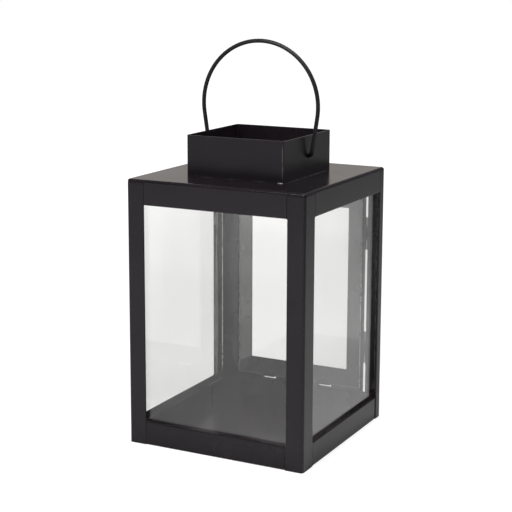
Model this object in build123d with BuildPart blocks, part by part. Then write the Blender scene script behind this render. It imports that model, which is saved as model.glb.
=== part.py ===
"""A square candle lantern of folded sheet steel and clear glass.

Four corner posts join a base tray to a roof lid. Three panes are fixed, and the fourth is in a door at the
rear. A square chimney collar stands on the roof and carries a wire bail. Millimetres, +Z up, the front faces
-Y, and the origin is on the ground under the middle of the floor.
"""

import os
from math import acos, atan2, cos, degrees, hypot, sin

from build123d import *

# Folded sheet
sheet = 0.8  # thickness of every folded piece
bend_radius = 2.0  # outside radius of the folds
floor_bend = 1.0  # the same along the tray's floor
hem_width = 5.0  # strip folded back along each window edge
seam = 0.3  # open joint between a post and a rail
joggle_lap = 1.0  # length over which a rail steps in behind a post

# Body
body_width = 140.0  # across the post faces, square in plan
body_height = 195.5  # from the ground to the roof
top_rail = 18.3  # height of the lid's flanges
bottom_rail = 17.5  # height of the tray's flanges
short_flange = 2.0  # the tray's right flange ends this far from the hinge post

# Legs of the four corner posts
front_leg = 13.6  # both front posts, on the front
front_side_leg = 16.0  # both front posts, on the sides
closing_leg = 16.5  # rear left post, on the rear, where the door closes
closing_side_leg = 15.3  # rear left post, on the left
hinge_leg = 13.8  # rear right post, on the rear, where the hinges are
hinge_side_leg = 8.5  # rear right post, on the right

# Fixed panes and the rails' tabs that hold them
glass_thickness = 2.0
glass_recess = 3.0  # from the posts' faces in to the pane
glass_margin = 6.0  # from the lantern's side in to a pane's upright edge
right_glass_shift = 3.0  # the right pane has slid this far to the rear
glass_play = 0.1  # left free round a pane
glass_arris = 0.25  # the panes' ground edges
tab_width = 10.0
tab_spacing = 60.0
tab_rise = 4.2  # height of a tab behind the pane

# Chimney collar
collar_width = 78.0
collar_height = 29.5
flue_width = 65.0  # hole in the roof under the collar
foot_width = 8.0  # tabs that go through the roof and are bent over
foot_spacing = 40.0
foot_length = 5.0
slot_play = 0.2

# Bail
wire_radius = 1.5
bail_radius = 46.3  # of the arch, on the wire's centre line
bail_neck = 34.2  # from the hooks up to the arch's centre
hook_height = 15.0  # from the roof up to the hooks
hook_reach = 2.6  # from the collar out to the corner of the hook
hook_radius = 3.0
hook_inside = 5.0  # length of wire inside the collar
hook_fit = 0.1
wire_chamfer = 0.4

# Door
door_gap = 0.2  # between the posts' faces and the closed door
door_slit = 2.4  # between the door and the hinge post
door_lap = 4.0  # over the closing post
rail_lap = 6.7  # over the rails
door_corner = 1.5
hinge_stile = 13.7  # widths of the door's four sides
closing_stile = 16.0
door_rail = 22.4
door_glass_lap = 11.3  # behind each stile
door_tab_width = 10.5
door_tab_spacing = 47.0
door_tab_inset = 8.0  # from the door's edge to the tabs' roots
door_slot_height = 5.5  # opening that a tab leaves in the sheet

# Hinges
hinge_spread = 90.0  # between the middles of the two hinges
hinge_length = 25.0
middle_knuckle = 10.0
knuckle_gap = 0.2
barrel_radius = 1.5
hinge_pin_radius = 0.75
hinge_fit = 0.05
leaf_thickness = 0.8
leaf_width = 10.0
leaf_relief = 0.4
pin_head_radius = 1.2
pin_head_height = 0.6

# Latch
latch_inset = 5.8  # from the lantern's left side to the rivet
latch_width = 5.0
latch_tail = 10.0  # from the rivet to the end of the button
latch_nose = 3.0
latch_corner = 2.0
latch_thickness = 1.0
latch_play = 0.1
washer_thickness = 1.3
washer_radius = 2.4
rivet_radius = 1.0
rivet_head_radius = 2.0
rivet_head_height = 0.8

# Places that follow from the sizes
half_width = body_width / 2
middle_height = body_height / 2
collar_half = collar_width / 2
lid_skirt = bend_radius + seam
post_top = body_height - lid_skirt - seam
window_bottom = bottom_rail + seam
window_top = body_height - top_rail - seam
glass_back = glass_recess + glass_thickness + glass_play
glass_bottom = bottom_rail - hem_width + glass_play
glass_top = body_height - top_rail + hem_width - glass_play
glass_height = glass_top - glass_bottom

ground = Plane.XY
roof = Plane((0, 0, body_height), x_dir=(1, 0, 0), z_dir=(0, 0, -1))
latch_place = (latch_inset - half_width, half_width, middle_height)
latch_plane = Plane(latch_place, x_dir=(-1, 0, 0), z_dir=(0, 1, 0))

# Legs at each corner, anticlockwise from the front left: on the side that starts there, then on the last one
post_legs = {
    "front_left_post": (front_leg, front_side_leg),
    "front_right_post": (front_side_leg, front_leg),
    "rear_right_post": (hinge_leg, hinge_side_leg),
    "rear_left_post": (closing_side_leg, closing_leg),
}
short_leg = {"rear_right_post": (hinge_leg, hinge_side_leg + short_flange)}
tray_legs = list((post_legs | short_leg).values())
lid_legs = [(after, before) for before, after in reversed(post_legs.values())]


def corner_plane(base, index, half=half_width):
    """A corner of a square: x runs along the side that starts there, y along the side before, inwards."""
    return Plane(base.location * Rot(0, 0, 90 * index) * Pos(-half, -half, 0))


def cross_plane(corner, along):
    """The cross-section of a side, some way along it: x runs inwards and y up from the corner's plane."""
    return Plane(corner.from_local_coords((along, 0, 0)), x_dir=corner.y_dir, z_dir=corner.x_dir)


def plain_angle(first, second):
    """Outline of a folded angle with raw edges, its outer corner at the origin."""
    with BuildSketch() as outline:
        with BuildLine():
            outside = FilletPolyline((first, 0), (0, 0), (0, second), radius=bend_radius)
            inside = FilletPolyline(
                (first, sheet), (sheet, sheet), (sheet, second), radius=bend_radius - sheet
            )
            Line(outside @ 0, inside @ 0)
            Line(outside @ 1, inside @ 1)
        make_face()
    return outline.sketch


def hemmed_angle(first, second):
    """Outline of the same angle where both edges are folded back on themselves."""
    double = 2 * sheet
    with BuildSketch() as outline:
        with BuildLine():
            FilletPolyline((first - sheet, 0), (0, 0), (0, second - sheet), radius=bend_radius)
            ThreePointArc((0, second - sheet), (sheet, second), (double, second - sheet))
            Polyline((double, second - sheet), (double, second - hem_width), (sheet, second - hem_width))
            FilletPolyline(
                (sheet, second - hem_width),
                (sheet, sheet),
                (first - hem_width, sheet),
                radius=bend_radius - sheet,
            )
            Polyline((first - hem_width, sheet), (first - hem_width, double), (first - sheet, double))
            ThreePointArc((first - sheet, double), (first, sheet), (first - sheet, 0))
        make_face()
    return outline.sketch


def rail_hem(rail):
    """Cross-section of the strip folded back along a rail's free edge."""
    double = 2 * sheet
    with BuildSketch() as outline:
        with BuildLine():
            ThreePointArc((0, rail - sheet), (sheet, rail), (double, rail - sheet))
            Polyline(
                (double, rail - sheet),
                (double, rail - hem_width),
                (sheet, rail - hem_width),
                (sheet, rail - sheet),
                (0, rail - sheet),
            )
        make_face()
    return outline.sketch


def rail_tab(rail):
    """Cross-section of a tab that runs in from the hem and turns up behind the pane."""
    seat = rail - hem_width
    with BuildSketch() as outline:
        with BuildLine():
            Polyline(
                (sheet, seat),
                (sheet, seat - sheet),
                (glass_back + sheet, seat - sheet),
                (glass_back + sheet, seat + tab_rise),
                (glass_back, seat + tab_rise),
                (glass_back, seat),
                close=True,
            )
        make_face()
    return outline.sketch


def rounded_block(base, width, height, radius):
    """A square block that stands on the plane, rounded along its foot and its upright edges."""
    upwards = Axis(base.origin, base.z_dir)
    with BuildPart(base) as block:
        Box(width, width, height, align=(Align.CENTER, Align.CENTER, Align.MIN))
        fillet(block.edges() - block.faces().sort_by(upwards)[-1].edges(), radius)
    return block.part


def folded_pan(base, rail, bend, legs, post_end, joggle_foot, door_side):
    """A square sheet with four hemmed flanges that step in behind the corner posts."""
    with BuildPart() as pan:
        # Floor and flanges, folded from one sheet
        add(rounded_block(base, body_width, rail - sheet, bend))
        add(
            rounded_block(base.offset(sheet), body_width - 2 * sheet, rail, bend - sheet),
            mode=Mode.SUBTRACT,
        )

        # Room for the posts, whose faces are flush with the flanges
        for index, (first, second) in enumerate(legs):
            with BuildSketch(corner_plane(base, index).offset(post_end)):
                for leg_u, leg_v in ((first + seam, 2 * sheet), (2 * sheet, second + seam)):
                    Rectangle(2 * leg_u, 2 * leg_v)
            extrude(amount=rail, mode=Mode.SUBTRACT)

        for index in range(len(legs)):
            corner = corner_plane(base, index)
            start = legs[index][0] + seam
            end = body_width - legs[(index + 1) % len(legs)][1] - seam

            # Hem along the window edge
            with BuildSketch(cross_plane(corner, start)):
                add(rail_hem(rail))
            extrude(amount=end - start)

            # Joggled ends behind the posts
            for low, high in (
                (bend_radius, start + joggle_lap),
                (end - joggle_lap, body_width - bend_radius),
            ):
                with BuildSketch(cross_plane(corner, low)):
                    with Locations((sheet, joggle_foot)):
                        Rectangle(sheet, rail - joggle_foot, align=(Align.MIN, Align.MIN))
                extrude(amount=high - low)

            # Tabs for the pane
            if index != door_side:
                for middle in (half_width - tab_spacing / 2, half_width + tab_spacing / 2):
                    with BuildSketch(cross_plane(corner, middle - tab_width / 2)):
                        add(rail_tab(rail))
                    extrude(amount=tab_width)
    return pan.part


os.makedirs("parts", exist_ok=True)


def keep(piece, name):
    """Label a finished piece and write it to its own file."""
    piece.label = name
    export_step(piece, f"parts/{name}.step")


# Base tray
with BuildPart() as base_tray:
    add(folded_pan(ground, bottom_rail, floor_bend, tray_legs, post_end=0, joggle_foot=0, door_side=2))
keep(base_tray.part, "base_tray")

# Roof lid, with the flue hole and the slots for the collar's feet
with BuildPart() as roof_lid:
    add(folded_pan(roof, top_rail, bend_radius, lid_legs, lid_skirt, joggle_foot=sheet, door_side=0))
    with BuildSketch(Plane.XY.offset(body_height)):
        Rectangle(flue_width, flue_width)
        with PolarLocations(collar_half - sheet / 2, 4):
            with Locations((0, -foot_spacing / 2), (0, foot_spacing / 2)):
                Rectangle(sheet + 2 * slot_play, foot_width + 2 * slot_play)
    extrude(amount=-sheet, mode=Mode.SUBTRACT)
keep(roof_lid.part, "roof_lid")

# Corner posts, hemmed along the windows and plain beside the rails
for corner_index, (post_name, (first_leg, second_leg)) in enumerate(post_legs.items()):
    foot_plane = corner_plane(ground, corner_index)
    with BuildPart() as post:
        with BuildSketch(foot_plane):
            add(plain_angle(first_leg, second_leg))
        extrude(amount=window_bottom)
        with BuildSketch(foot_plane.offset(window_bottom)):
            add(hemmed_angle(first_leg, second_leg))
        extrude(amount=window_top - window_bottom)
        with BuildSketch(foot_plane.offset(window_top)):
            add(plain_angle(first_leg, second_leg))
        extrude(amount=post_top - window_top)
        if post_name == "rear_left_post":
            with BuildSketch(latch_plane):
                Circle(rivet_radius + latch_play)
            extrude(amount=-sheet, mode=Mode.SUBTRACT)
    keep(post.part, post_name)

# Chimney collar: a folded strip whose ends meet at the front right, with feet bent over under the roof
hook_z = body_height + hook_height
with BuildPart() as chimney_collar:
    with BuildSketch(Plane.XY.offset(body_height)) as collar_wall:
        Rectangle(collar_width, collar_width)
        seam_corner = collar_wall.vertices().sort_by(Axis.X)[-2:].sort_by(Axis.Y)[0]
        fillet(collar_wall.vertices() - [seam_corner], bend_radius)
        offset(amount=-sheet, mode=Mode.SUBTRACT)
        with Locations((collar_half - sheet, -collar_half)):
            Rectangle(seam, sheet, align=(Align.MAX, Align.MIN), mode=Mode.SUBTRACT)
    extrude(amount=collar_height)
    for side in range(4):
        collar_corner = corner_plane(ground, side, collar_half)
        for foot_middle in (collar_half - foot_spacing / 2, collar_half + foot_spacing / 2):
            with BuildSketch(cross_plane(collar_corner, foot_middle - foot_width / 2)):
                with Locations((0, body_height)):
                    Rectangle(sheet, 2 * sheet, align=(Align.MIN, Align.MAX))
                with Locations((0, body_height - sheet)):
                    Rectangle(foot_length, sheet, align=(Align.MAX, Align.MAX))
            extrude(amount=foot_width)
    with BuildSketch(Plane.YZ):
        with Locations((0, hook_z)):
            Circle(wire_radius + hook_fit)
    extrude(amount=collar_width, both=True, mode=Mode.SUBTRACT)
keep(chimney_collar.part, "chimney_collar")

# Bail: an arch whose legs run in along its tangents to the hooks
hook_corner = collar_half + hook_reach
arch_centre = (0, hook_z + bail_neck)
tangent_angle = atan2(-bail_neck, hook_corner) + acos(bail_radius / hypot(hook_corner, bail_neck))
leg_top = (bail_radius * cos(tangent_angle), arch_centre[1] + bail_radius * sin(tangent_angle))
wire_end = (collar_half - sheet - hook_inside, hook_z)
with BuildPart() as bail_handle:
    with BuildLine(Plane.XZ) as bail_line:
        right_leg = FilletPolyline(wire_end, (hook_corner, hook_z), leg_top, radius=hook_radius)
        CenterArc(arch_centre, bail_radius, degrees(tangent_angle), 180 - 2 * degrees(tangent_angle))
        mirror(right_leg, about=Plane.YZ)
    with BuildSketch(Plane(right_leg @ 0, z_dir=right_leg % 0)):
        Circle(wire_radius)
    sweep(path=bail_line.wire())
    chamfer(bail_handle.faces().filter_by(Axis.X).edges(), wire_chamfer)
keep(bail_handle.part, "bail_handle")


def glass_pane(plane, width, height):
    """A pane with ground edges: its face is on the plane, and it stands on the plane's x axis."""
    with BuildPart(plane) as pane:
        Box(width, height, glass_thickness, align=(Align.CENTER, Align.MIN, Align.MAX))
        chamfer(pane.edges(), glass_arris)
    return pane.part


# Fixed panes, standing on the tray's tabs
glass_line = half_width - glass_recess
front_pane = Plane((0, -glass_line, glass_bottom), x_dir=(1, 0, 0), z_dir=(0, -1, 0))
left_pane = Plane((-glass_line, 0, glass_bottom), x_dir=(0, -1, 0), z_dir=(-1, 0, 0))
right_pane = Plane((glass_line, right_glass_shift, glass_bottom), x_dir=(0, 1, 0), z_dir=(1, 0, 0))
for pane_name, pane_plane in (("front", front_pane), ("left", left_pane), ("right", right_pane)):
    keep(glass_pane(pane_plane, body_width - 2 * glass_margin, glass_height), f"{pane_name}_glass")

# Door frame: a flat sheet over the rear opening, with tabs lanced out of it to hold its own pane
door_inner = half_width + door_gap
door_outer = door_inner + sheet
door_left = closing_leg - half_width - door_lap
door_right = half_width - hinge_leg - door_slit
door_bottom = bottom_rail - rail_lap
door_top = body_height - top_rail + rail_lap
door_height = door_top - door_bottom
door_centre = (door_left + door_right) / 2
door_middle = (door_bottom + door_top) / 2
window_left = door_left + closing_stile
window_right = door_right - hinge_stile
window_width = window_right - window_left
window_middle = (window_left + window_right) / 2
tab_root = door_bottom + door_tab_inset
door_glass_back = door_inner - 2 * glass_play - glass_thickness
door_plane = Plane.XZ.offset(-door_inner)
with BuildPart() as door_frame:
    with BuildSketch(door_plane) as door_sheet:
        with Locations((door_left, door_bottom)):
            Rectangle(door_right - door_left, door_height, align=(Align.MIN, Align.MIN))
        fillet(door_sheet.vertices(), door_corner)
        with Locations((window_middle, door_middle)):
            Rectangle(window_width, door_height - 2 * door_rail, mode=Mode.SUBTRACT)
        with Locations((door_centre, door_middle)):
            with GridLocations(door_tab_spacing, 2 * (door_middle - tab_root) + door_slot_height, 2, 2):
                Rectangle(door_tab_width, door_slot_height, mode=Mode.SUBTRACT)
    extrude(amount=-sheet)
    for tab_middle in (door_centre - door_tab_spacing / 2, door_centre + door_tab_spacing / 2):
        with BuildSketch(Plane.YZ.offset(tab_middle - door_tab_width / 2)):
            with Locations((door_inner, tab_root)):
                Rectangle(door_inner - door_glass_back + sheet, sheet, align=(Align.MAX, Align.MIN))
            with Locations((door_glass_back, tab_root)):
                Rectangle(sheet, sheet + tab_rise, align=(Align.MAX, Align.MIN))
            mirror(about=Plane.XZ.offset(-door_middle))
        extrude(amount=door_tab_width)
keep(door_frame.part, "door_frame")

# Door pane
door_glass_width = window_width + 2 * door_glass_lap
door_glass_bottom = tab_root + sheet + glass_play
door_glass_height = 2 * (door_middle - door_glass_bottom)
door_glass_foot = (window_middle, door_inner - glass_play, door_glass_bottom)
door_pane = Plane(door_glass_foot, x_dir=(-1, 0, 0), z_dir=(0, 1, 0))
keep(glass_pane(door_pane, door_glass_width, door_glass_height), "door_glass")

# Hinges: two flat leaves with interleaved knuckles round a pin
hinge_x = half_width - hinge_leg
hinge_y = half_width + barrel_radius


def hinge_leaf(bottom, direction, seat, gaps):
    """A leaf that runs from the pin along x: its plate is on the seat, its barrel cut away in the gaps."""
    with BuildPart() as leaf:
        with BuildSketch(Plane.XY.offset(bottom)):
            with Locations((hinge_x, hinge_y)):
                Circle(barrel_radius)
            with Locations((hinge_x + direction * leaf_width / 2, seat)):
                Rectangle(leaf_width, leaf_thickness, align=(Align.CENTER, Align.MIN))
            with Locations((hinge_x, hinge_y)):
                Circle(hinge_pin_radius + hinge_fit, mode=Mode.SUBTRACT)
        extrude(amount=hinge_length)
        for low, high in gaps:
            with BuildSketch(Plane.XY.offset(bottom + low)):
                with Locations((hinge_x, hinge_y)):
                    Rectangle(2 * (barrel_radius + leaf_relief), 2 * (barrel_radius + leaf_relief))
            extrude(amount=high - low, mode=Mode.SUBTRACT)
    return leaf.part


middle_low = (hinge_length - middle_knuckle) / 2
middle_high = middle_low + middle_knuckle
post_leaf_gaps = ((middle_low - knuckle_gap, middle_high + knuckle_gap),)
door_leaf_gaps = ((0, middle_low), (middle_high, hinge_length))
for hinge_name, hinge_z in (
    ("upper", middle_height + hinge_spread / 2),
    ("lower", middle_height - hinge_spread / 2),
):
    leaf_bottom = hinge_z - hinge_length / 2
    keep(hinge_leaf(leaf_bottom, 1, half_width, post_leaf_gaps), f"{hinge_name}_hinge_post_leaf")
    keep(hinge_leaf(leaf_bottom, -1, door_outer, door_leaf_gaps), f"{hinge_name}_hinge_door_leaf")
    with BuildPart() as hinge_pin:
        with BuildSketch(Plane.XY.offset(leaf_bottom)):
            with Locations((hinge_x, hinge_y)):
                Circle(hinge_pin_radius)
        extrude(amount=hinge_length)
        with BuildSketch(Plane.XY.offset(leaf_bottom + hinge_length)):
            with Locations((hinge_x, hinge_y)):
                Circle(pin_head_radius)
        extrude(amount=pin_head_height)
        fillet(hinge_pin.edges().sort_by(Axis.Z)[-1], pin_head_height / 2)
    keep(hinge_pin.part, f"{hinge_name}_hinge_pin")

# Latch: a turn button on a rivet, held off the post by a washer so that it clears the door
with BuildPart(latch_plane) as latch_washer:
    Cylinder(washer_radius, washer_thickness, align=(Align.CENTER, Align.CENTER, Align.MIN))
    Hole(rivet_radius + latch_play)
keep(latch_washer.part, "latch_washer")

button_plane = latch_plane.offset(washer_thickness + latch_play)
with BuildPart() as door_latch:
    with BuildSketch(button_plane) as button:
        with Locations((0, latch_nose)):
            Rectangle(latch_width, latch_nose + latch_tail, align=(Align.CENTER, Align.MAX))
        fillet(button.vertices(), latch_corner)
        Circle(rivet_radius + latch_play, mode=Mode.SUBTRACT)
    extrude(amount=latch_thickness)
keep(door_latch.part, "door_latch")

rivet_length = sheet + washer_thickness + latch_thickness + 2 * latch_play
with BuildPart() as latch_rivet:
    with BuildSketch(latch_plane.offset(-sheet)):
        Circle(rivet_radius)
    extrude(amount=rivet_length)
    with BuildSketch(latch_plane.offset(-sheet)):
        Circle(rivet_head_radius)
    extrude(amount=-rivet_head_height)
    with BuildSketch(latch_plane.offset(rivet_length - sheet)):
        Circle(rivet_head_radius)
    extrude(amount=rivet_head_height)
    fillet(latch_rivet.edges().sort_by(Axis.Y)[-1], rivet_head_height / 2)
    fillet(latch_rivet.edges().sort_by(Axis.Y)[0], rivet_head_height / 2)
keep(latch_rivet.part, "latch_rivet")
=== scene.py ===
"""Looks of a square candle lantern: satin black paint, clear panes, spot welds, floor, light and camera."""

from math import pi, radians

import bpy
from mathutils import Matrix, Vector


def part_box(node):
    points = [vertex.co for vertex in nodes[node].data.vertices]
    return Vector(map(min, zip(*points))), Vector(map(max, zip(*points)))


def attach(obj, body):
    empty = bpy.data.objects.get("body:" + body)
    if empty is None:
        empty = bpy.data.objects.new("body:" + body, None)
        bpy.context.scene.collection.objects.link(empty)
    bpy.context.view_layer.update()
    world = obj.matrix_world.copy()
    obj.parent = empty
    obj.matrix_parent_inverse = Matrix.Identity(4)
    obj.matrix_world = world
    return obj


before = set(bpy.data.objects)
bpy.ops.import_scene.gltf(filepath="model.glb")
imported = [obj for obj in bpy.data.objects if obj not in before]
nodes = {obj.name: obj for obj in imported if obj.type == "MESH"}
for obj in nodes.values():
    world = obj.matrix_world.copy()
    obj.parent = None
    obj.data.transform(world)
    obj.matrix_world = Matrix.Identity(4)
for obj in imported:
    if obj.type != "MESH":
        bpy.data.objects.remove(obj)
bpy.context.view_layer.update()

# Base tray
# A square of mild steel sheet with its four sides folded up and hemmed. It is painted satin black after
# folding, with a fine orange-peel skin, cloudy gloss, rubbed bends and a little dust on its floor.


def start_material(name):
    """A new material and its node tree, with a Principled shader on its output."""
    material = bpy.data.materials.new(name)
    material.use_nodes = True
    return material, material.node_tree, material.node_tree.nodes["Principled BSDF"]


def add_node(tree, kind, **settings):
    """A node with its settings; a setting that names an input sets that socket."""
    node = tree.nodes.new(kind)
    for key, value in settings.items():
        if key in node.bl_rna.properties:
            setattr(node, key, value)
        else:
            node.inputs[key.title()].default_value = value
    return node


def combine(tree, operation, first, second=0.0):
    """A sum, product or other step on two values, each a socket or a plain number."""
    node = add_node(tree, "ShaderNodeMath", operation=operation)
    for socket, value in zip(node.inputs, (first, second)):
        if isinstance(value, (int, float)):
            socket.default_value = value
        else:
            tree.links.new(value, socket)
    return node.outputs["Value"]


def noise(tree, place, scale, detail=3.0, stretch=(1, 1, 1)):
    """Noise on the piece's own coordinates; a stretch below 1 draws it out along that axis."""
    mapping = add_node(tree, "ShaderNodeMapping", scale=stretch)
    tree.links.new(place, mapping.inputs["Vector"])
    texture = add_node(tree, "ShaderNodeTexNoise", scale=scale, detail=detail)
    tree.links.new(mapping.outputs["Vector"], texture.inputs["Vector"])
    return texture.outputs["Fac"]


def spread(tree, value, over, to=(0, 1)):
    """A value taken smoothly from the range that it runs over to another, and held at its ends."""
    node = add_node(tree, "ShaderNodeMapRange", interpolation_type="SMOOTHSTEP")
    for name, number in zip(("From Min", "From Max", "To Min", "To Max"), (*over, *to)):
        node.inputs[name].default_value = number
    tree.links.new(value, node.inputs["Value"])
    return node.outputs["Result"]


def blend_colours(tree, share, first, second):
    """A mix of two colours, each a socket or a plain colour."""
    node = add_node(tree, "ShaderNodeMix", data_type="RGBA")
    tree.links.new(share, node.inputs["Factor"])
    # A Mix node's colour sockets share their names with those for numbers, so they go by their place.
    first_socket, second_socket = node.inputs[6], node.inputs[7]
    for socket, colour in ((first_socket, first), (second_socket, second)):
        if isinstance(colour, tuple):
            socket.default_value = (*colour, 1)
        else:
            tree.links.new(colour, socket)
    return node.outputs[2]


def axes_of(tree, vector):
    """The X, Y and Z sockets of a vector."""
    node = add_node(tree, "ShaderNodeSeparateXYZ")
    tree.links.new(vector, node.inputs["Vector"])
    return node.outputs


def emboss(tree, shader, height, strength, depth):
    """Give a shader's surface a relief that is a depth in metres at most."""
    relief = add_node(tree, "ShaderNodeBump", strength=strength, distance=depth)
    tree.links.new(height, relief.inputs["Height"])
    tree.links.new(relief.outputs["Normal"], shader.inputs["Normal"])


def bend_mask(tree, place, half, low, high, reach=0.0025):
    """1 along the edges of an upright square box, and 0 from a reach away."""
    x, y, z = axes_of(tree, place)
    middle = (low + high) / 2
    z = combine(tree, "SUBTRACT", z, middle)
    near = 0.0
    for axis, limit in ((x, half), (y, half), (z, high - middle)):
        distance = combine(tree, "ABSOLUTE", axis)
        near = combine(tree, "ADD", spread(tree, distance, over=(limit - reach, limit)), near)
    # Near one of the limits is a face, and near two of them an edge.
    return spread(tree, near, over=(1.1, 1.9))


def spot_mask(tree, place, spots):
    """1 inside oval spots, each a centre and its half sizes, with ragged borders."""
    ragged = combine(tree, "ADD", noise(tree, place, scale=1500), 0.5)
    whole = 0.0
    for centre, halves in spots:
        oval = add_node(tree, "ShaderNodeMapping", vector_type="TEXTURE", scale=halves)
        oval.inputs["Location"].default_value = centre
        tree.links.new(place, oval.inputs["Vector"])
        reach = add_node(tree, "ShaderNodeVectorMath", operation="LENGTH")
        tree.links.new(oval.outputs["Vector"], reach.inputs[0])
        uneven = combine(tree, "MULTIPLY", reach.outputs["Value"], ragged)
        whole = combine(tree, "MAXIMUM", spread(tree, uneven, over=(0.8, 1.0), to=(1, 0)), whole)
    return whole


body_half = 0.07
roof_height = 0.1955
body_edges = (body_half, 0.0, roof_height)
deep_black = (0.0083, 0.0057, 0.0085)
soft_black = (0.0107, 0.0079, 0.0109)
rubbed_grey = (0.06, 0.055, 0.052)
dust_beige = (0.34, 0.32, 0.3)
peel_depth = 0.0003


def black_paint(name, edges, gloss=(0.25, 0.3), dust=0.0, marks_and_highlights=(), peel=0.05, shine=0.34):
    """Satin black paint on steel, rubbed at its edges, dusty where it faces up, and marked in places with
    bare chips, dust or a painted highlight.

    Gloss is the range of its roughness. Each marked place is a list of spots, its colour, and how far it is
    broken up, from 0 for whole.
    """
    material, tree, paint = start_material(name)
    surface = add_node(tree, "ShaderNodeTexCoord")
    place = surface.outputs["Object"]
    clouds = spread(tree, noise(tree, place, scale=30), over=(0.3, 0.7))
    colour = blend_colours(tree, clouds, deep_black, soft_black)
    bends = bend_mask(tree, place, *edges)
    rubs = spread(tree, noise(tree, place, scale=420), over=(0.6, 0.7), to=(0.02, 0.5))
    colour = blend_colours(tree, combine(tree, "MULTIPLY", bends, rubs), colour, rubbed_grey)
    patches = spread(tree, noise(tree, place, scale=25, detail=2), over=(0.3, 0.7), to=gloss)
    scuffs = spread(tree, noise(tree, place, scale=160, detail=4), over=(0.62, 0.7), to=(0, 0.02))
    if dust:
        upward = spread(tree, axes_of(tree, surface.outputs["Normal"])["Z"], over=(0.9, 0.98))
        grains = noise(tree, place, scale=1100, detail=1)
        specks = spread(tree, grains, over=(0.66, 0.72), to=(0.01 * dust, dust))
        colour = blend_colours(tree, combine(tree, "MULTIPLY", upward, specks), colour, dust_beige)
    # The marks hold bare chips, dust, and painted highlights, each as a colour laid over the paint.
    for spots, mark_colour, breaks in marks_and_highlights:
        whole = spread(tree, noise(tree, place, scale=110), over=(breaks, breaks + 0.12))
        shown = combine(tree, "MULTIPLY", spot_mask(tree, place, spots), whole)
        colour = blend_colours(tree, shown, colour, mark_colour)
    tree.links.new(colour, paint.inputs["Base Color"])
    tree.links.new(combine(tree, "ADD", patches, scuffs), paint.inputs["Roughness"])
    paint.inputs["Specular IOR Level"].default_value = shine
    emboss(tree, paint, noise(tree, place, scale=900, detail=2), strength=peel, depth=peel_depth)
    return material


def finish_nodes(names, material):
    """Give CAD pieces their finish."""
    for name in names:
        mesh = nodes[name].data
        mesh.materials.clear()
        mesh.materials.append(material)


tray_paint = black_paint("tray_paint", body_edges, gloss=(0.16, 0.19), dust=0.18, shine=0.3)
finish_nodes(["base_tray"], tray_paint)

# Corner posts
# Four folded angles of the same sheet, hemmed along the windows and spot-welded to the tray and the lid.
# The rear left one has a painted highlight in light grey along its hem behind the side pane, whole low down
# and in patches near the top.
clean_posts = ["front_left_post", "front_right_post", "rear_right_post"]
finish_nodes(clean_posts, black_paint("post_paint", body_edges))
hem_place = (-0.0685, 0.0572)
hem_halves = (0.002, 0.0026)
# Painted highlight: the hem's rounded edge behind the left pane is painted light grey, whole low down and
# broken near the top.
low_hem_highlight = [((*hem_place, 0.06), (*hem_halves, 0.075))]
high_hem_highlight = [((*hem_place, 0.155), (*hem_halves, 0.04))]
hem_highlight_grey = (0.4, 0.39, 0.37)
hem_highlights = [(low_hem_highlight, hem_highlight_grey, 0.25), (high_hem_highlight, hem_highlight_grey, 0.42)]
hem_highlight_paint = black_paint("post_paint_with_hem_highlight", body_edges, marks_and_highlights=hem_highlights)
finish_nodes(["rear_left_post"], hem_highlight_paint)

# Fixed panes
# Clear 2 mm float glass, cut to size and held behind the hems by the rails' tabs. The cut edges are ground,
# so they catch the light as a thin white line.
clean_tint = (1.0, 0.998, 0.993)
smudged_tint = (0.992, 0.99, 0.985)
film_white = (0.9, 0.89, 0.87, 1)
passed_light = (0.94, 0.94, 0.93, 1)
edge_dark_and_shade = (0.05, 0.05, 0.05)
edge_white = (1.0, 1.0, 0.98)
x_axis = 0
y_axis = 1


def mix_shaders(tree, share, first, second):
    """A mix of two shaders, whose share goes from 0 for the first to 1 for the second."""
    node = add_node(tree, "ShaderNodeMixShader")
    for socket, value in zip(node.inputs, (share, first, second)):
        tree.links.new(value, socket)
    return node.outputs["Shader"]


def show_surface(tree, shader):
    """Put a shader on a material's output."""
    tree.links.new(shader, tree.nodes["Material Output"].inputs["Surface"])


def clear_glass(name):
    """Clear glass with faint smudges and a thin, uneven film, which lets the lamps' light through."""
    material, tree, glass = start_material(name)
    place = add_node(tree, "ShaderNodeTexCoord").outputs["Object"]
    smudges = spread(tree, noise(tree, place, scale=18, detail=5), over=(0.4, 0.75))
    tree.links.new(blend_colours(tree, smudges, clean_tint, smudged_tint), glass.inputs["Base Color"])
    glass.inputs["Roughness"].default_value = 0.0
    glass.inputs["IOR"].default_value = 1.5
    glass.inputs["Transmission Weight"].default_value = 1.0
    film = add_node(tree, "ShaderNodeBsdfDiffuse")
    film.inputs["Color"].default_value = film_white
    grains = spread(tree, noise(tree, place, scale=900, detail=2), over=(0.35, 0.75), to=(0.5, 1))
    blotches = spread(tree, noise(tree, place, scale=35, detail=2), over=(0.3, 0.75), to=(0.006, 0.014))
    haze = combine(tree, "MULTIPLY", blotches, grains)
    hazy = mix_shaders(tree, haze, glass.outputs["BSDF"], film.outputs["BSDF"])
    clear = add_node(tree, "ShaderNodeBsdfTransparent")
    clear.inputs["Color"].default_value = passed_light
    shadow_rays = add_node(tree, "ShaderNodeLightPath").outputs["Is Shadow Ray"]
    show_surface(tree, mix_shaders(tree, shadow_rays, hazy, clear.outputs["BSDF"]))
    return material


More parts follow.
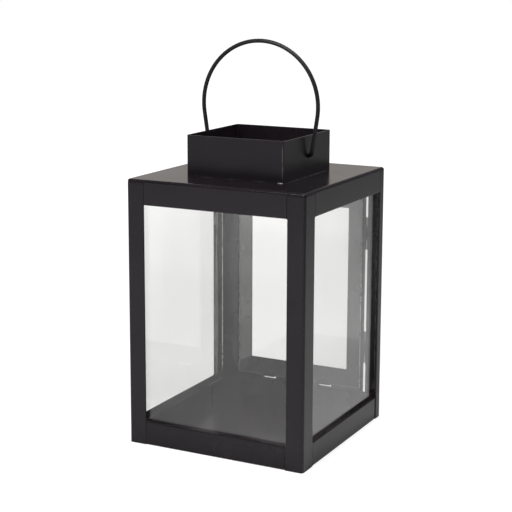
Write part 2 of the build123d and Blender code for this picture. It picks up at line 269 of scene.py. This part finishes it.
def ground_edge(name):
    """The matt white of a ground glass edge, with small sparkling flakes and a foot behind the rail that is
    dark with dirt and painted shade.
    """
    material, tree, edge = start_material(name)
    place = add_node(tree, "ShaderNodeTexCoord").outputs["Object"]
    flakes = noise(tree, place, scale=650, detail=2)
    # Below the rail's top the edge is painted dark, as dirt and as the rail's painted shade.
    above_rail = spread(tree, axes_of(tree, place)["Z"], over=(0.017, 0.024))
    bright = combine(tree, "MULTIPLY", spread(tree, flakes, over=(0.44, 0.5)), above_rail)
    tree.links.new(blend_colours(tree, bright, edge_dark_and_shade, edge_white), edge.inputs["Base Color"])
    tree.links.new(spread(tree, flakes, over=(0.4, 0.6), to=(0.6, 0.35)), edge.inputs["Roughness"])
    emboss(tree, edge, flakes, strength=0.3, depth=0.0002)
    return material


pane_glass = clear_glass("pane_glass")
pane_edge = ground_edge("pane_edge")


def glaze(name, axis):
    """Give a pane its clear faces, which look along the axis, and its ground edges."""
    finish_nodes([name], pane_glass)
    mesh = nodes[name].data
    mesh.materials.append(pane_edge)
    for face in mesh.polygons:
        is_clear = abs(face.normal[axis]) > 0.5
        face.material_index = 0 if is_clear else 1


glaze("left_glass", x_axis)
glaze("right_glass", x_axis)
glaze("front_glass", y_axis)

# Roof lid
# The same folded sheet as the tray, turned over, with a square flue hole and slots for the collar's feet.
# It lies open to dust, which gathers along the collar's foot, and its paint is glossier than the posts'.
collar_half = 0.039
dust_gap = 0.0004
dust_width = 0.0007
dust_height = 0.001
foot_dust = []
for side in (-1, 1):
    beside = side * (collar_half + dust_gap)
    foot_dust.append(((0, beside, roof_height), (collar_half, dust_width, dust_height)))
    foot_dust.append(((beside, 0, roof_height), (dust_width, collar_half, dust_height)))
dust_grey = (0.13, 0.125, 0.12)
roof_bare = [(foot_dust, dust_grey, 0.42)]
roof_paint = black_paint("roof_paint", body_edges, gloss=(0.18, 0.21), dust=0.14, marks_and_highlights=roof_bare)
finish_nodes(["roof_lid"], roof_paint)

# Chimney collar
# A strip of sheet folded round to a square, whose ends meet at the front right corner. Two small chips at
# its foot show bare metal, painted near white so that they also stand in for a glint, and a painted
# highlight runs in grey along the raw front end of the strip.
collar_top = 0.225
collar_edges = (collar_half, roof_height, collar_top)
# Bare chips at the collar's foot, painted near white: part wear, part painted highlight.
chips_and_glints = (
    ((0.0362, -0.0390, 0.1957), (0.0024, 0.0010, 0.0002)),
    ((0.0390, 0.0385, 0.1957), (0.0005, 0.0010, 0.0002)),
)
chip_and_glint_white = (0.75, 0.73, 0.7)
# Painted highlight: the strip's raw front edge is painted grey where it would catch the light.
seam_highlight = [((0.0376, -0.0390, 0.2105), (0.0003, 0.0005, 0.0142))]
seam_highlight_grey = (0.11, 0.105, 0.105)
collar_marks_and_highlights = [(chips_and_glints, chip_and_glint_white, 0.0), (seam_highlight, seam_highlight_grey, 0.3)]
collar_paint = black_paint("collar_paint", collar_edges, gloss=(0.28, 0.33), marks_and_highlights=collar_marks_and_highlights, shine=0.4)
finish_nodes(["chimney_collar"], collar_paint)

# Bail
# A 3 mm steel wire bent to an arch, with its ends hooked through the collar's sides. It is painted black
# like the sheet, but more matt, and the skin over the drawn wire is smoother.
finish_nodes(["bail_handle"], black_paint("wire_paint", collar_edges, gloss=(0.42, 0.48), peel=0.003))

# Door
# A flat steel sheet with a window punched out of it, painted like the rest. Its own pane of the same glass
# lies behind the window, held by tabs that are lanced out of the sheet and bent over the pane's edge.
finish_nodes(["door_frame"], black_paint("door_paint", body_edges))
glaze("door_glass", y_axis)

# Hinges and latch
# Small pressed butt hinges, each leaf spot-welded on at two places, which turn on plain steel pins. The
# latch is a turn button on a rivet, over a plain steel washer.
leaf_names = [f"{height}_hinge_{side}_leaf" for height in ("upper", "lower") for side in ("post", "door")]
hinge_paint = black_paint("hinge_paint", body_edges)
finish_nodes([*leaf_names, "door_latch", "latch_rivet"], hinge_paint)
bright_steel = (0.56, 0.55, 0.54)
dull_steel = (0.36, 0.35, 0.34)


def bare_steel(name):
    """Drawn mild steel, brightly scored along its length and dulled in patches."""
    material, tree, steel = start_material(name)
    place = add_node(tree, "ShaderNodeTexCoord").outputs["Object"]
    dull = spread(tree, noise(tree, place, scale=300), over=(0.35, 0.65))
    tree.links.new(blend_colours(tree, dull, bright_steel, dull_steel), steel.inputs["Base Color"])
    scores = noise(tree, place, scale=2500, detail=2, stretch=(1, 1, 0.05))
    tree.links.new(spread(tree, scores, over=(0.3, 0.7), to=(0.28, 0.45)), steel.inputs["Roughness"])
    steel.inputs["Metallic"].default_value = 1.0
    emboss(tree, steel, scores, strength=0.1, depth=0.0001)
    return material


finish_nodes(["upper_hinge_pin", "lower_hinge_pin", "latch_washer"], bare_steel("bare_steel"))

weld_radius = 0.0015
weld_sides = 24
weld_sink = 0.0003
weld_rim = 0.00018
weld_rounding = 0.6 * weld_rim
weld_border = 0.3 * weld_radius
weld_dish = 0.7 * weld_rim
weld_smoothing = radians(50)
weld_inset = 0.0035
leaf_thickness = 0.0008


def select_rear_faces(piece, least):
    """Select the faces that look to the rear, and stay in edit mode."""
    bpy.ops.object.mode_set(mode="EDIT")
    bpy.ops.mesh.select_mode(type="FACE")
    bpy.ops.mesh.select_all(action="DESELECT")
    bpy.ops.object.mode_set(mode="OBJECT")
    for face in piece.data.polygons:
        face.select = face.normal.y > least
    bpy.ops.object.mode_set(mode="EDIT")


def model_weld():
    """A shallow electrode print at the origin: a low button with a rounded rim and a dished middle."""
    bpy.ops.object.select_all(action="DESELECT")
    bpy.ops.mesh.primitive_cylinder_add(
        vertices=weld_sides,
        radius=weld_radius,
        depth=weld_sink + weld_rim,
        location=(0, (weld_rim - weld_sink) / 2, 0),
        rotation=(-pi / 2, 0, 0),
    )
    weld = bpy.context.object
    bpy.ops.object.transform_apply(location=True, rotation=True, scale=True)
    select_rear_faces(weld, least=0.9)
    bpy.ops.mesh.bevel(offset=weld_rounding, segments=3)
    select_rear_faces(weld, least=0.99)
    bpy.ops.mesh.inset(thickness=weld_border)
    bpy.ops.transform.translate(value=(0, -weld_dish, 0))
    bpy.ops.object.mode_set(mode="OBJECT")
    bpy.ops.object.shade_smooth_by_angle(angle=weld_smoothing)
    weld.data.materials.append(hinge_paint)
    return weld


def copy_weld(pattern, name, place):
    """A copy of the weld with its own mesh, which holds its place on a leaf."""
    bpy.ops.object.select_all(action="DESELECT")
    pattern.select_set(True)
    bpy.context.view_layer.objects.active = pattern
    bpy.ops.object.duplicate(linked=False)
    weld = bpy.context.object
    weld.name = name
    weld.location = place
    bpy.ops.object.transform_apply(location=True, rotation=True, scale=True)
    return weld


weld_pattern = model_weld()
for leaf in leaf_names:
    low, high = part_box(leaf)
    on_post = "post" in leaf
    across = high[0] - weld_inset if on_post else low[0] + weld_inset
    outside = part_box("rear_right_post" if on_post else "door_frame")[1][1] + leaf_thickness
    heights = (low[2] + weld_inset, high[2] - weld_inset)
    for number, height in enumerate(heights, start=1):
        weld = copy_weld(weld_pattern, f"{leaf}_weld_{number}", (across, outside, height))
        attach(weld, "lantern" if on_post else "door")
bpy.data.objects.remove(weld_pattern)

# Floor
# A seamless white studio floor that runs past the frame. It glows for the camera, which sees it near to white
# with the lantern's shadow, and less through the panes. The paint mirrors it as the lamps light it.
floor_width = 12
floor_white = (0.8, 0.8, 0.8, 1)
shadow_grey = (0.3, 0.3, 0.3, 1)
near_glow = 0.575
far_glow = 0.735
left_lift = 1.045
mirror_loss = 0.7
front_lift = 0.6
camera_lift = 0.25
sight_slant = 0.51


def straight_rays(tree):
    """The kinds of rays, and 1 for a ray that comes from the camera or has just passed through glass."""
    rays = add_node(tree, "ShaderNodeLightPath").outputs
    return rays, combine(tree, "MAXIMUM", rays["Is Camera Ray"], rays["Is Transmission Ray"])


def floor_glow(tree, rays):
    """How strongly the floor glows for straight rays."""
    place = add_node(tree, "ShaderNodeTexCoord").outputs["Object"]
    x, y, _ = axes_of(tree, place)
    slanted = combine(tree, "MULTIPLY", y, sight_slant)
    # It grows with the distance, and is a little stronger where it shows through the left pane.
    distance = add_node(tree, "ShaderNodeVectorMath", operation="LENGTH")
    tree.links.new(place, distance.inputs[0])
    strength = spread(tree, distance.outputs["Value"], over=(0.3, 1.3), to=(near_glow, far_glow))
    past_left_pane = spread(tree, combine(tree, "ADD", x, slanted), over=(-0.04, -0.01), to=(left_lift, 1))
    strength = combine(tree, "MULTIPLY", strength, past_left_pane)
    # For a mirrored ray it is weaker behind, as the left pane shows it, and stronger far in front.
    mirrored = combine(tree, "MINIMUM", rays["Glossy Depth"], 1.0)
    behind = spread(tree, y, over=(0.05, 0.15), to=(0, mirror_loss))
    off_left_pane = spread(tree, combine(tree, "SUBTRACT", x, slanted), over=(-0.03, 0.03), to=(1, 0))
    lost = combine(tree, "MULTIPLY", combine(tree, "MULTIPLY", behind, off_left_pane), mirrored)
    strength = combine(tree, "MULTIPLY", strength, combine(tree, "SUBTRACT", 1.0, lost))
    far_in_front = spread(tree, y, over=(-0.62, -0.52), to=(front_lift, 0))
    strength = combine(tree, "ADD", strength, combine(tree, "MULTIPLY", far_in_front, mirrored))
    for_camera = combine(tree, "MULTIPLY", rays["Is Camera Ray"], camera_lift)
    return combine(tree, "ADD", strength, for_camera)


def studio_floor(name):
    """Matt white under the lamps, and a shaded glow for the camera and through glass."""
    material, tree, matt = start_material(name)
    matt.inputs["Base Color"].default_value = floor_white
    matt.inputs["Roughness"].default_value = 1.0
    matt.inputs["Specular IOR Level"].default_value = 0.0
    shaded = add_node(tree, "ShaderNodeBsdfDiffuse")
    shaded.inputs["Color"].default_value = shadow_grey
    rays, straight = straight_rays(tree)
    glow = add_node(tree, "ShaderNodeEmission")
    tree.links.new(floor_glow(tree, rays), glow.inputs["Strength"])
    bright = add_node(tree, "ShaderNodeAddShader")
    tree.links.new(shaded.outputs["BSDF"], bright.inputs[0])
    tree.links.new(glow.outputs["Emission"], bright.inputs[1])
    show_surface(tree, mix_shaders(tree, straight, matt.outputs["BSDF"], bright.outputs["Shader"]))
    return material


bpy.ops.object.select_all(action="DESELECT")
bpy.ops.mesh.primitive_plane_add(size=floor_width, location=(0, 0, 0))
floor = bpy.context.object
floor.name = "floor"
floor.data.materials.append(studio_floor("floor_white"))

# Surround
# A white studio: white to the camera and through glass. What the paint mirrors is a dim room, with a low,
# warm white wall behind the lantern on the left.
room_light = 0.18
wall_light = 0.57
plain_white = (1, 1, 1)
warm_white = (1, 0.94, 0.88)
world = bpy.data.worlds.new("studio")
bpy.context.scene.world = world
world.use_nodes = True
tree = world.node_tree
background = tree.nodes["Background"]
direction = axes_of(tree, add_node(tree, "ShaderNodeTexCoord").outputs["Generated"])
on_left = spread(tree, direction["X"], over=(-0.3, 0.2), to=(1, 0))
behind = spread(tree, direction["Y"], over=(0.2, 0.7))
low_down = spread(tree, direction["Z"], over=(0.2, 0.45), to=(1, 0))
wall = combine(tree, "MULTIPLY", combine(tree, "MULTIPLY", on_left, behind), low_down)
strength = spread(tree, wall, over=(0, 1), to=(room_light, wall_light))
rays, straight = straight_rays(tree)
unmirrored = combine(tree, "GREATER_THAN", straight, rays["Glossy Depth"])
tree.links.new(combine(tree, "MAXIMUM", strength, unmirrored), background.inputs["Strength"])
warmth = combine(tree, "MULTIPLY", wall, combine(tree, "SUBTRACT", 1.0, unmirrored))
tree.links.new(blend_colours(tree, warmth, plain_white, warm_white), background.inputs["Color"])

# Lamps
# Four square soft boxes. The one high in front on the left is the main light. Two small ones lift the floor
# on the right and behind on the right, and a large weak one the rear left, so that no side goes black.


def soft_box(name, place, aim, size, power):
    """A square area lamp that faces a point."""
    bpy.ops.object.select_all(action="DESELECT")
    bpy.ops.object.light_add(type="AREA", location=place)
    lamp = bpy.context.object
    lamp.name = name
    lamp.data.size = size
    lamp.data.energy = power
    lamp.rotation_euler = (Vector(aim) - Vector(place)).to_track_quat("-Z", "Y").to_euler()


soft_box("front_box", place=(-0.25, -1.1, 1.2), aim=(-0.2, -0.5, 0), size=0.4, power=16)
soft_box("right_box", place=(0.25, 0, 0.9), aim=(0.1, 0, 0), size=0.3, power=3.2)
soft_box("rear_box", place=(0.6, 1.0, 0.9), aim=(0.5, 0.8, 0), size=0.3, power=1.0)
soft_box("left_box", place=(-1.3, 0.9, 1.0), aim=(-0.3, 0.4, 0), size=1.0, power=6)

# Camera
# A long lens that stands in front and to the right, a little above the roof, and looks slightly down, as in
# the photograph. The small shift puts the lantern as high in the frame as it is there.
camera_place = (0.45016, -0.88121, 0.34642)
camera_azimuth = radians(27.204)
camera_drop = radians(10.497)
camera_roll = radians(0.204)
lens_length = 96.337
sensor_width = 36
frame_shift = -0.078125
bpy.ops.object.camera_add()
camera = bpy.context.object
camera.data.lens = lens_length
camera.data.shift_y = frame_shift
camera.data.sensor_width = sensor_width
turn = Matrix.Rotation(camera_azimuth, 4, "Z") @ Matrix.Rotation(pi / 2 - camera_drop, 4, "X")
camera.matrix_world = Matrix.Translation(camera_place) @ turn @ Matrix.Rotation(camera_roll, 4, "Z")
bpy.context.scene.camera = camera
bpy.context.scene.view_settings.view_transform = "Standard"
